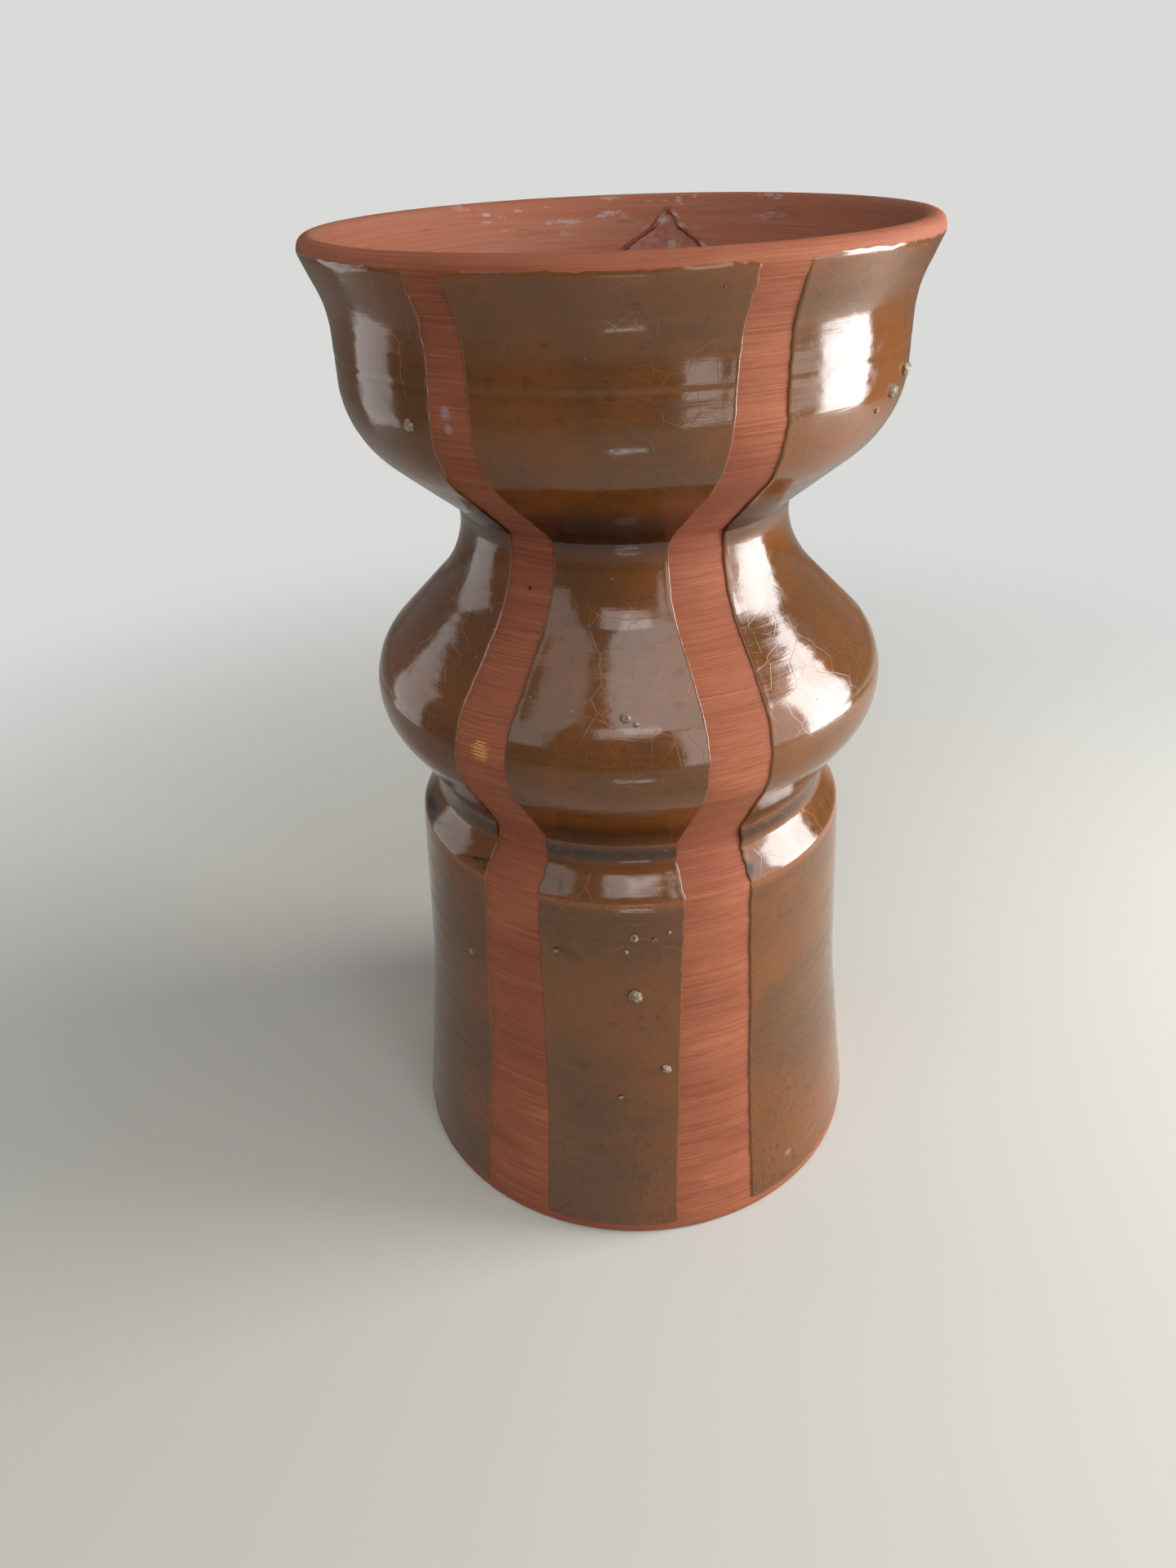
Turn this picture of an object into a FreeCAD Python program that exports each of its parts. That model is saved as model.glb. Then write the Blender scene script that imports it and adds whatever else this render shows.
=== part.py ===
import FreeCAD, Part
import math
import os
import Sketcher

# A glazed clay goblet drum (darbuka) without its skin: a hollow pot that is open at
# both ends. Three thrown sections are luted together with slip, six upright panels
# of clear glaze cover the outside, and bare clay shows in the stripes between them.
# Millimetres, +Z up, origin at the centre of the foot's rest ring. Azimuths are
# measured from the front (-Y) towards +X.

# ---------------------------------------------------------------- driving sizes
SIZES = [
    # foot and barrel: the lowest section, from the rest ring to the waist groove
    ("barrel_height", 104.0),         # rest ring to the middle of the waist groove
    ("barrel_radius", 51.6),          # where the barrel would stand upright
    ("barrel_round", 254.0),          # slow hollow curve from barrel into foot
    ("barrel_upright_height", 68.5),
    ("foot_flare", 6.3),              # how far the foot stands out past the barrel
    ("foot_edge_round", 1.0),
    ("shoulder_taper", 1.6),          # the shoulder is this much inside the barrel
    ("shoulder_drop", 8.9),           # from the waist groove down to the shoulder
    ("shoulder_round", 1.0),
    ("shoulder_inner_round", 4.0),
    ("shoulder_inner_drop", 4.6),
    # neck and bulb: the middle section, from the waist groove to the neck crease
    ("waist_depth", 5.5),             # how far the waist groove cuts in from the shoulder
    ("waist_round", 7.0),
    ("bulb_radius", 56.4),
    ("bulb_rise", 24.5),              # waist groove to the widest line of the bulb
    ("bulb_round", 15.0),
    ("neck_radius", 34.6),
    ("neck_rise", 37.5),              # widest line of the bulb to the neck's waist
    ("neck_round", 22.5),
    ("crease_rise", 1.6),             # neck's waist to the crease under the bowl
    ("crease_round", 0.8),
    # bowl: the top section, which would carry the skin
    ("bowl_radius", 55.9),
    ("bowl_rise", 26.9),              # crease to the bowl's widest line
    ("bowl_round", 19.0),
    ("flare_rise", 8.5),              # widest line to where the lip starts to flare
    ("flare_round", 22.0),
    ("flare_inner_round", 18.0),      # tighter than outside, so that the wall thins to the lip
    ("lip_rise", 17.0),               # start of the flare to the top of the lip
    ("lip_radius", 60.3),
    ("lip_round", 2.2),               # the lip is a full round of this radius
    # clay wall and the luted lap joints
    ("wall", 6.0),
    ("lap_depth", 5.0),
    ("slip_thickness", 0.8),
    # glaze
    ("glaze_thickness", 0.6),
    ("bare_foot_band", 2.5),          # unglazed edge above the rest ring
    ("stripe_foot_width", 18.5),
    ("stripe_lip_width", 7.5),
    ("first_stripe_azimuth", -31.0),
    ("front_panel_angle", 53.0),      # between the two stripes beside the front panel
    ("side_panel_angle", 80.0),       # across the front right panel, and the front left one
    # the run of glaze inside the bowl
    ("drip_azimuth", 167.0),
    ("drip_width", 30.0),
    ("drip_tip_width", 1.0),
    ("drip_length", 14.0),
    ("drip_below_lip", 2.6),
    ("drip_thickness", 1.2),
    # tools reach this far past the pot on every side
    ("reach", 100.0),
]

PANEL_NAMES = ["front", "front_right", "back_right", "back", "back_left", "front_left"]

# Mineral grains that broke through the glaze: azimuth, height, radius
GRAINS = [
    (0.5, 71.0, 1.4),
    (0.4, 86.7, 0.8),
    (-1.6, 83.0, 0.7),
    (5.3, 86.0, 0.6),
    (8.9, 87.5, 0.7),
    (7.8, 49.8, 1.0),
    (-3.7, 41.9, 0.7),
    (-19.1, 81.5, 0.7),
    (-0.4, 139.8, 0.9),
    (1.6, 138.9, 0.7),
    (-40.3, 192.5, 1.0),
    (59.8, 192.5, 1.1),
    (54.0, 190.2, 0.7),
    (67.3, 194.8, 1.3),
]

# Heights of the stations, each one stacked on the section below it
WAIST_HEIGHT = "Sizes.barrel_height"
BULB_HEIGHT = WAIST_HEIGHT + " + Sizes.bulb_rise"
NECK_HEIGHT = BULB_HEIGHT + " + Sizes.neck_rise"
CREASE_HEIGHT = NECK_HEIGHT + " + Sizes.crease_rise"
BOWL_HEIGHT = CREASE_HEIGHT + " + Sizes.bowl_rise"
FLARE_HEIGHT = BOWL_HEIGHT + " + Sizes.flare_rise"
LIP_HEIGHT = FLARE_HEIGHT + " + Sizes.lip_rise"
SHOULDER_HEIGHT = WAIST_HEIGHT + " - Sizes.shoulder_drop - Sizes.shoulder_round / 2"
SHOULDER_RADIUS = "Sizes.barrel_radius - Sizes.shoulder_taper"
WAIST_RADIUS = SHOULDER_RADIUS + " - Sizes.waist_depth"

FULL = 1      # a round whose centre is on the clay's side
HOLLOW = -1   # a round whose centre is outside the clay


def wall_rounds():
    """The rounds of the wall's section, up the outside, over the lip and down the inside.

    Each is (name, centre radius, centre height, round, side), as expressions.
    """
    flare_centre = "Sizes.bowl_radius + Sizes.flare_round"
    bowl_centre = "Sizes.bowl_radius - Sizes.bowl_round"
    crease_centre = "Sizes.neck_radius + Sizes.crease_round"
    neck_centre = "Sizes.neck_radius + Sizes.neck_round"
    bulb_centre = "Sizes.bulb_radius - Sizes.bulb_round"
    waist_centre = WAIST_RADIUS + " + Sizes.waist_round"
    barrel_centre = "Sizes.barrel_radius + Sizes.barrel_round"
    foot_radius = "Sizes.barrel_radius + Sizes.foot_flare"
    shoulder_inner = SHOULDER_RADIUS + " - Sizes.wall - Sizes.shoulder_inner_round"
    shoulder_inner_height = SHOULDER_HEIGHT + " - Sizes.shoulder_inner_drop"
    lip_centre_height = LIP_HEIGHT + " - Sizes.lip_round"
    return [
        ("foot_edge", foot_radius + " - Sizes.foot_edge_round",
         "Sizes.foot_edge_round", "Sizes.foot_edge_round", FULL),
        ("barrel", barrel_centre, "Sizes.barrel_upright_height", "Sizes.barrel_round", HOLLOW),
        ("shoulder", SHOULDER_RADIUS + " - Sizes.shoulder_round",
         SHOULDER_HEIGHT, "Sizes.shoulder_round", FULL),
        ("waist", waist_centre, WAIST_HEIGHT, "Sizes.waist_round", HOLLOW),
        ("bulb", bulb_centre, BULB_HEIGHT, "Sizes.bulb_round", FULL),
        ("neck", neck_centre, NECK_HEIGHT, "Sizes.neck_round", HOLLOW),
        ("crease", crease_centre, CREASE_HEIGHT, "Sizes.crease_round", HOLLOW),
        ("bowl", bowl_centre, BOWL_HEIGHT, "Sizes.bowl_round", FULL),
        ("flare", flare_centre, FLARE_HEIGHT, "Sizes.flare_round", HOLLOW),
        ("lip", "Sizes.lip_radius - Sizes.lip_round", lip_centre_height, "Sizes.lip_round", FULL),
        ("flare_inner", "Sizes.bowl_radius - Sizes.wall + Sizes.flare_inner_round",
         FLARE_HEIGHT, "Sizes.flare_inner_round", FULL),
        ("bowl_inner", bowl_centre, BOWL_HEIGHT, "Sizes.bowl_round - Sizes.wall", HOLLOW),
        ("crease_inner", crease_centre, CREASE_HEIGHT, "Sizes.crease_round + Sizes.wall", FULL),
        ("neck_inner", neck_centre, NECK_HEIGHT, "Sizes.neck_round + Sizes.wall", FULL),
        ("bulb_inner", bulb_centre, BULB_HEIGHT, "Sizes.bulb_round - Sizes.wall", HOLLOW),
        ("waist_inner", waist_centre, WAIST_HEIGHT, "Sizes.waist_round + Sizes.wall", FULL),
        ("shoulder_inner", shoulder_inner, shoulder_inner_height,
         "Sizes.shoulder_inner_round", HOLLOW),
        ("barrel_inner", barrel_centre, "Sizes.barrel_upright_height",
         "Sizes.barrel_round + Sizes.wall", FULL),
        ("foot_inner", foot_radius + " - Sizes.wall + Sizes.foot_edge_round",
         "Sizes.foot_edge_round", "Sizes.foot_edge_round", FULL),
    ]


def make_sheet(doc):
    sheet = doc.addObject("Spreadsheet::Sheet", "Sizes")
    for row, (alias, value) in enumerate(SIZES, start=1):
        sheet.set("A%d" % row, alias)
        sheet.set("B%d" % row, str(value))
        sheet.setAlias("B%d" % row, alias)
    doc.recompute()
    return sheet


def value_of(sheet, expression):
    return float(sheet.evalExpression(expression))


def tangent_normal(start, end):
    """The outward normal of the line that touches two rounds, walking from start to end."""
    start_radius, start_height, start_round, start_side = start
    end_radius, end_height, end_round, end_side = end
    along_radius = end_radius - start_radius
    along_height = end_height - start_height
    distance = math.hypot(along_radius, along_height)
    along_radius /= distance
    along_height /= distance
    lean = (start_side * start_round - end_side * end_round) / distance
    upright = math.sqrt(1.0 - lean * lean)
    normal_radius = along_height * upright + along_radius * lean
    normal_height = -along_radius * upright + along_height * lean
    return normal_radius, normal_height


def touch_point(centre, normal):
    centre_radius, centre_height, size, side = centre
    return FreeCAD.Vector(centre_radius + side * size * normal[0],
                          centre_height + side * size * normal[1], 0)


def solved_rounds(sheet, spread):
    """The rounds as numbers, with the normals of the tangents that leave each of them."""
    rounds = []
    for name, radius, height, size, side in wall_rounds():
        centre_radius = value_of(sheet, radius + spread)
        rounds.append((centre_radius, value_of(sheet, height), value_of(sheet, size), side))
    normals = []
    for index, start in enumerate(rounds):
        end = rounds[(index + 1) % len(rounds)]
        normals.append(tangent_normal(start, end))
    return rounds, normals


def bind_constraint(sketch, constraint, name, expression):
    index = sketch.addConstraint(constraint)
    sketch.renameConstraint(index, name)
    sketch.setExpression("Constraints." + name, expression)


def make_wall_sketch(doc, sheet, name, spread=""):
    """A closed section of the wall: rounds joined by straight tangents.

    spread is an expression that moves the whole section away from the axis.
    """
    sketch = doc.addObject("Sketcher::SketchObject", name)
    sketch.Placement = FreeCAD.Placement(FreeCAD.Vector(0, 0, 0),
                                         FreeCAD.Rotation(FreeCAD.Vector(1, 0, 0), 90))
    rounds, normals = solved_rounds(sheet, spread)
    arcs = []
    lines = []
    for index, centre in enumerate(rounds):
        side = centre[3]
        arriving = math.atan2(side * normals[index - 1][1], side * normals[index - 1][0])
        leaving = math.atan2(side * normals[index][1], side * normals[index][0])
        circle = Part.Circle(FreeCAD.Vector(centre[0], centre[1], 0),
                             FreeCAD.Vector(0, 0, 1), centre[2])
        # an arc always runs anticlockwise, so a hollow round is drawn backwards
        first, last = (arriving, leaving) if side == FULL else (leaving, arriving)
        arcs.append(sketch.addGeometry(Part.ArcOfCircle(circle, first, last), False))
    for index, centre in enumerate(rounds):
        following = rounds[(index + 1) % len(rounds)]
        line = Part.LineSegment(touch_point(centre, normals[index]),
                                touch_point(following, normals[index]))
        lines.append(sketch.addGeometry(line, False))
    for index, (label, radius, height, size, side) in enumerate(wall_rounds()):
        arc = arcs[index]
        centre = rounds[index]
        bind_constraint(sketch, Sketcher.Constraint("Radius", arc, centre[2]),
                        label + "_round", size)
        bind_constraint(sketch, Sketcher.Constraint("DistanceX", -1, 1, arc, 3, centre[0]),
                        label + "_centre", radius + spread)
        bind_constraint(sketch, Sketcher.Constraint("DistanceY", -1, 1, arc, 3, centre[1]),
                        label + "_level", height)
        arc_start, arc_end = (1, 2) if side == FULL else (2, 1)
        sketch.addConstraint(Sketcher.Constraint("Tangent", lines[index - 1], 2, arc, arc_start))
        sketch.addConstraint(Sketcher.Constraint("Tangent", lines[index], 1, arc, arc_end))
    return sketch


def revolve(doc, name, sketch):
    turned = doc.addObject("Part::Revolution", name)
    turned.Source = sketch
    turned.Axis = (0, 0, 1)
    turned.Base = (0, 0, 0)
    turned.Angle = 360
    turned.Solid = True
    return turned


def cylinder(doc, name, radius, bottom, top):
    """An upright cylinder on the axis between two levels, all bound to the sheet."""
    body = doc.addObject("Part::Cylinder", name)
    body.setExpression("Radius", radius)
    body.setExpression("Height", "(%s) - (%s)" % (top, bottom))
    body.setExpression("Placement.Base.z", bottom)
    return body


def boolean(doc, kind, name, base, tool):
    result = doc.addObject("Part::" + kind, name)
    result.Base = base
    result.Tool = tool
    return result


def make_lap(doc, name, level, outer_radius):
    """The two sides of a luted lap joint: the socket below and the spigot above."""
    middle = "(%s - Sizes.wall / 2)" % outer_radius
    half = "Sizes.slip_thickness / 2"
    floor = "-Sizes.reach"
    ceiling = LIP_HEIGHT + " + Sizes.reach"
    under = cylinder(doc, name + "_under", "Sizes.reach", floor, "%s - %s" % (level, half))
    socket = cylinder(doc, name + "_socket", "%s + %s" % (middle, half),
                      "%s - Sizes.lap_depth - %s" % (level, half), level)
    lower = boolean(doc, "Cut", name + "_lower_side", under, socket)
    over = cylinder(doc, name + "_over", "Sizes.reach", "%s + %s" % (level, half), ceiling)
    spigot = cylinder(doc, name + "_spigot", "%s - %s" % (middle, half),
                      "%s - Sizes.lap_depth + %s" % (level, half), "%s + Sizes.lap_depth" % level)
    upper = boolean(doc, "Fuse", name + "_upper_side", over, spigot)
    return lower, upper


def make_slip(doc, name, shell, lower, upper, level):
    """The thin ring of fired slip that fills what both sides of a joint leave free."""
    band = cylinder(doc, name + "_band", "Sizes.reach",
                    "%s - 2 * Sizes.lap_depth" % level, "%s + Sizes.lap_depth" % level)
    ring = boolean(doc, "Common", name + "_ring", shell, band)
    trimmed = boolean(doc, "Cut", name + "_trimmed", ring, lower)
    return boolean(doc, "Cut", name, trimmed, upper)


def stripe_azimuth(index):
    """Front panel, side panel, three back panels that share the rest, and the other side panel."""
    azimuth = "Sizes.first_stripe_azimuth"
    if index > 0:
        azimuth += " + Sizes.front_panel_angle"
    if index > 1:
        back_panel = "(360 - Sizes.front_panel_angle - 2 * Sizes.side_panel_angle) / 3"
        azimuth += " + Sizes.side_panel_angle + %d * %s" % (index - 2, back_panel)
    return azimuth


def wedge(doc, name, foot_width, top_width, bottom, height, azimuth):
    """An upright tapered slab that reaches from the axis outwards at one azimuth."""
    slab = doc.addObject("Part::Wedge", name)
    slab.setExpression("Xmin", "-(%s) / 2" % foot_width)
    slab.setExpression("Xmax", "(%s) / 2" % foot_width)
    slab.setExpression("X2min", "-(%s) / 2" % top_width)
    slab.setExpression("X2max", "(%s) / 2" % top_width)
    slab.Ymin = 0
    slab.setExpression("Ymax", height)
    slab.Zmin = 0
    slab.Z2min = 0
    slab.setExpression("Zmax", "Sizes.reach")
    slab.setExpression("Z2max", "Sizes.reach")
    turn = "rotation(%s; 0; 90)" % azimuth
    slab.setExpression("Placement", "placement(vector(0; 0; %s); %s)" % (bottom, turn))
    return slab


def make_glaze(doc, sheet, shell):
    """Six panels of glaze: one coat over the outside, parted by the bare stripes."""
    coat_sketch = make_wall_sketch(doc, sheet, "coat_section", " + Sizes.glaze_thickness")
    spread_shell = revolve(doc, "spread_shell", coat_sketch)
    band = cylinder(doc, "glazed_band", "Sizes.reach", "Sizes.bare_foot_band",
                    LIP_HEIGHT + " - Sizes.lip_round")
    banded = boolean(doc, "Common", "banded_shell", spread_shell, band)
    coat = boolean(doc, "Cut", "glaze_coat", banded, shell)
    stripes = []
    for index in range(len(PANEL_NAMES)):
        stripes.append(wedge(doc, "stripe_%d" % (index + 1), "Sizes.stripe_foot_width",
                             "Sizes.stripe_lip_width", "0", LIP_HEIGHT, stripe_azimuth(index)))
    striping = doc.addObject("Part::MultiFuse", "striping")
    striping.Shapes = stripes
    parted = boolean(doc, "Cut", "parted_coat", coat, striping)
    panels = []
    for index, place in enumerate(PANEL_NAMES):
        sector = cylinder(doc, "sector_" + place, "Sizes.reach", "0", LIP_HEIGHT)
        following = "(%s)" % stripe_azimuth(index + 1)
        if index == len(PANEL_NAMES) - 1:
            following = "(%s + 360)" % stripe_azimuth(0)
        sector.setExpression("Angle", "%s - (%s)" % (following, stripe_azimuth(index)))
        sector.setExpression("Placement.Rotation.Angle", "%s - 90" % stripe_azimuth(index))
        panels.append(boolean(doc, "Common", "glaze_panel_" + place, parted, sector))
    return panels


def make_drip(doc, sheet, shell):
    """The run of glaze that stands on the bowl's inner wall."""
    inner_sketch = make_wall_sketch(doc, sheet, "drip_section", " - Sizes.drip_thickness")
    inner_shell = revolve(doc, "inner_shell", inner_sketch)
    outline = wedge(doc, "drip_outline", "Sizes.drip_width", "Sizes.drip_tip_width",
                    LIP_HEIGHT + " - Sizes.drip_below_lip - Sizes.drip_length",
                    "Sizes.drip_length", "Sizes.drip_azimuth")
    patch = boolean(doc, "Common", "drip_patch", inner_shell, outline)
    return boolean(doc, "Cut", "glaze_drip", patch, shell)


def skin_radius(sheet, height):
    """The radius of the glaze's outer face at one height, along its outside outline."""
    rounds, normals = solved_rounds(sheet, " + Sizes.glaze_thickness")
    lip = [entry[0] for entry in wall_rounds()].index("lip")
    for index in range(1, lip + 1):
        centre_radius, centre_height, size, side = rounds[index]
        start = touch_point(rounds[index], normals[index - 1])
        end = touch_point(rounds[index], normals[index])
        if height < start.y:
            before = touch_point(rounds[index - 1], normals[index - 1])
            share = (height - before.y) / (start.y - before.y)
            return before.x + share * (start.x - before.x)
        if height <= end.y:
            return centre_radius + side * math.sqrt(size ** 2 - (height - centre_height) ** 2)
    raise ValueError("no glaze at height %.1f" % height)


def make_grains(doc, sheet):
    """Domes of mineral grain that stand on the glaze's outer face."""
    domes = []
    for azimuth, height, radius in GRAINS:
        turn = math.radians(azimuth)
        outward = FreeCAD.Vector(math.sin(turn), -math.cos(turn), 0)
        seat = outward * skin_radius(sheet, height) + FreeCAD.Vector(0, 0, height)
        domes.append(Part.makeSphere(radius, seat, outward, 0, 90, 360))
    grains = doc.addObject("Part::Feature", "mineral_grains")
    grains.Shape = Part.makeCompound(domes)
    return grains


def check(doc, parts):
    for item in doc.Objects:
        if "Invalid" in item.State or "Error" in item.State:
            raise RuntimeError("%s failed: %s" % (item.Label, item.State))
    for part in parts:
        if part.Shape.isNull() or not part.Shape.isValid():
            raise RuntimeError("%s has no valid shape" % part.Label)


def main():
    doc = FreeCAD.newDocument("darbuka")
    sheet = make_sheet(doc)
    shell = revolve(doc, "shell", make_wall_sketch(doc, sheet, "wall_section"))
    below_waist, above_waist = make_lap(doc, "waist_lap", WAIST_HEIGHT, WAIST_RADIUS)
    below_neck, above_neck = make_lap(doc, "neck_lap", CREASE_HEIGHT, "Sizes.neck_radius")
    foot_barrel = boolean(doc, "Common", "foot_barrel", shell, below_waist)
    upper_pot = boolean(doc, "Common", "upper_pot", shell, above_waist)
    neck_and_bulb = boolean(doc, "Common", "neck_and_bulb", upper_pot, below_neck)
    bowl = boolean(doc, "Common", "bowl", shell, above_neck)
    waist_slip = make_slip(doc, "waist_slip_joint", shell, below_waist, above_waist, WAIST_HEIGHT)
    neck_slip = make_slip(doc, "neck_slip_joint", shell, below_neck, above_neck, CREASE_HEIGHT)
    panels = make_glaze(doc, sheet, shell)
    drip = make_drip(doc, sheet, shell)
    doc.recompute()
    grains = make_grains(doc, sheet)

    parts = [bowl, neck_and_bulb, foot_barrel, neck_slip, waist_slip] + panels + [drip, grains]
    check(doc, parts)
    os.makedirs("parts", exist_ok=True)
    for part in parts:
        part.Label = part.Name
        print("%-26s %d solids %10.1f mm3" % (part.Label, len(part.Shape.Solids), part.Shape.Volume))
        part.Shape.exportStep("parts/%s.step" % part.Label)


main()
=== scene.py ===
"""The finish of a glazed clay goblet drum shell: turned clay, six panels of brown glaze, and a pale stage."""

import math

import bmesh
import bpy
import numpy as np
from bpy.props import FloatProperty, FloatVectorProperty, IntProperty, PointerProperty
from mathutils import Matrix, Vector


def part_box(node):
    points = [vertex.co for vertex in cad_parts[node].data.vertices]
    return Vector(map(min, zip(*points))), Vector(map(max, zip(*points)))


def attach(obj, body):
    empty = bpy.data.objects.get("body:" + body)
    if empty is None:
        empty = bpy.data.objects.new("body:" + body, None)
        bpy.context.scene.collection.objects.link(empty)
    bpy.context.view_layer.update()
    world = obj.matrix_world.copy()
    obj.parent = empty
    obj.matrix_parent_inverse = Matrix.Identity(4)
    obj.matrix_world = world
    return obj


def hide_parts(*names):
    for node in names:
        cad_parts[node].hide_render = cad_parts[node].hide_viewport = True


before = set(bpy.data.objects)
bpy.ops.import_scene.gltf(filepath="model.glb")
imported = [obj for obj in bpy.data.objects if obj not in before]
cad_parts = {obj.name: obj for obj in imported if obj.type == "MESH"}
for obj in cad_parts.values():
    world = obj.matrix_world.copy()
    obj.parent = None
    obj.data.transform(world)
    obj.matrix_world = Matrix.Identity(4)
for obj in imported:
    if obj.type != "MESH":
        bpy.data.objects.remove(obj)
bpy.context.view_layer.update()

bl_info = {
    "name": "Clay Goblet Drum Shell",
    "version": (1, 0, 0),
    "blender": (4, 5, 0),
    "location": "View3D > Sidebar > Drum Shell",
    "description": "Turns the clay, pours the glaze panels and sets the stage for a goblet drum shell",
    "category": "Object",
}

MM = 0.001
ROOT_BODY = "root"

FULL = 1      # a round whose centre is on the clay's side
HOLLOW = -1   # a round whose centre is outside the clay

# Steps along the wall's outline where it is seen, and in the hollow below the bowl
SEEN_STEP = 0.7 * MM
HIDDEN_STEP = 2.4 * MM
# The most that one step may turn on a small round, in radians
LARGEST_TURN = 0.22
# Points nearer than this to a cut give way to the cut's own point
CUT_CLEARANCE = 0.02 * MM

# Where each panel of glaze lies, going round from the front towards +X
PANELS = ["front", "front_right", "back_right", "back", "back_left", "front_left"]
# How far each bare stripe leans from the lip to the foot, in degrees
STRIPE_LEAN = [-1.0, -5.0, 2.0, -2.5, 1.5, 3.0]
# How much wider each bare stripe is than the first
STRIPE_EXTRA_WIDTH = [0.0, 1.4 * MM, 0.5 * MM, 1.0 * MM, 0.2 * MM, 0.8 * MM]
# The run of glaze in the bowl is a tent with hollow sides: its width from the foot up, out of 1
DRIP_SHARES = [0.0, 0.40, 0.49, 0.60, 0.69, 0.87, 1.0]
DRIP_WIDTHS = [1.0, 0.76, 0.62, 0.44, 0.29, 0.16, 0.05]
DRIP_ROWS = 70
DRIP_COLUMNS = 90
# How far the run's back sits in the clay
DRIP_BITE = 0.3 * MM
# About how wide a panel is, for the wander of its low and high edges
PANEL_WIDTH = 45.0 * MM
# A panel's back needs far fewer columns than its front
BACK_COLUMNS = 11
# The first seed of each kind of uneven line, so that no two lines wander alike
STRIPE_SEED = 40
LOW_EDGE_SEED = 70
HIGH_EDGE_SEED = 80
CLOUD_SEED = 90
STREAK_SEED = 100
SPLASH_SEED = 110
CHIP_SEED = 300


# ------------------------------------------------------------------ sizes from the frame

FOOT_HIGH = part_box("foot_barrel")[1]
MIDDLE_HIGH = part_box("neck_and_bulb")[1]
BOWL_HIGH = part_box("bowl")[1]
WAIST_SLIP_LOW, WAIST_SLIP_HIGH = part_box("waist_slip_joint")
NECK_SLIP_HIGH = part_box("neck_slip_joint")[1]
GLAZE_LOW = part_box("glaze_panel_front")[0]
SLIP_THICKNESS = WAIST_SLIP_HIGH.z - FOOT_HIGH.z
LAP_DEPTH = WAIST_SLIP_HIGH.z - WAIST_SLIP_LOW.z - SLIP_THICKNESS


def length(name, description, default):
    return FloatProperty(name=name, description=description, default=default, unit="LENGTH", precision=5)


def angle(name, description, degrees):
    return FloatProperty(name=name, description=description, default=math.radians(degrees), unit="ROTATION")


def colour(name, description, default):
    return FloatVectorProperty(name=name, description=description, default=default, subtype="COLOR", size=3,
                               min=0.0, max=1.0)


def new_object(name, data):
    """A new object in the scene."""
    thing = bpy.data.objects.new(name, data)
    bpy.context.scene.collection.objects.link(thing)
    return thing


def round_axis(turn, radius, level):
    """Points from azimuths, radii and levels."""
    return np.stack([radius * np.sin(turn), -radius * np.cos(turn), level], axis=-1)


class ShellSizes(bpy.types.PropertyGroup):
    """The turned form of the clay"""

    lip_radius: length("Lip radius", "Outside radius of the lip", BOWL_HIGH.x)
    bulb_radius: length("Bulb radius", "Radius at the widest line of the bulb", MIDDLE_HIGH.x)
    foot_radius: length("Foot radius", "Outside radius of the foot", FOOT_HIGH.x)
    full_height: length("Height", "From the rest ring to the top of the lip", BOWL_HIGH.z)
    waist_height: length("Waist height", "Middle of the waist groove", (FOOT_HIGH.z + WAIST_SLIP_HIGH.z) / 2)
    crease_height: length("Crease height", "Crease under the bowl", (MIDDLE_HIGH.z + NECK_SLIP_HIGH.z) / 2)
    slip_thickness: length("Slip", "Thickness of the luting slip", SLIP_THICKNESS)
    lap_depth: length("Lap", "Depth of each lap joint", LAP_DEPTH)
    barrel_radius: length("Barrel radius", "Radius where the barrel stands upright", 51.6 * MM)
    shoulder_radius: length("Shoulder radius", "Radius of the sharp shoulder", 50.0 * MM)
    waist_radius: length("Waist radius", "Radius at the bottom of the waist groove", 44.5 * MM)
    neck_radius: length("Neck radius", "Radius at the narrowest line of the neck", 34.6 * MM)
    bowl_radius: length("Bowl radius", "Radius of the bowl's wall", 55.9 * MM)
    wall: length("Wall", "Thickness of the clay wall", 6.0 * MM)
    ridge_height: length("Turning ridges", "Height of the ridges that the turning left", 0.05 * MM)
    segments: IntProperty(name="Segments", description="Faces around each section", default=440, min=32)


class GlazeSizes(bpy.types.PropertyGroup):
    """The coat of glaze and the bare stripes in it"""

    thickness: length("Thickness", "Thickness of the coat on a plain wall", 0.32 * MM)
    bare_foot: length("Bare foot", "Height of the bare edge at the foot", GLAZE_LOW.z)
    edge_round: length("Edge", "Width over which the coat rounds off", 0.42 * MM)
    embed: length("Bite", "How far the coat's back sits in the clay", 0.12 * MM)
    stripe_foot_width: length("Stripe at foot", "Width of a bare stripe at the foot", 18.6 * MM)
    stripe_lip_width: length("Stripe at lip", "Width of a bare stripe at the lip", 6.9 * MM)
    first_stripe: angle("First stripe", "Azimuth of the stripe left of the front panel", -31.2)
    front_panel: angle("Front panel", "Angle between the stripes beside the front panel", 53.4)
    side_panel: angle("Side panel", "Angle across each of the two side panels", 80.0)
    waviness: length("Waviness", "How far the edges of the coat wander", 0.30 * MM)
    rows: IntProperty(name="Rows", description="Faces from foot to lip", default=470, min=40)
    columns: IntProperty(name="Columns", description="Faces across a panel", default=110, min=16)
    blisters: IntProperty(name="Blisters", description="Small blisters on the coat", default=150, min=0)
    seed: IntProperty(name="Seed", description="Seed of the small blisters", default=7)


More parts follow.
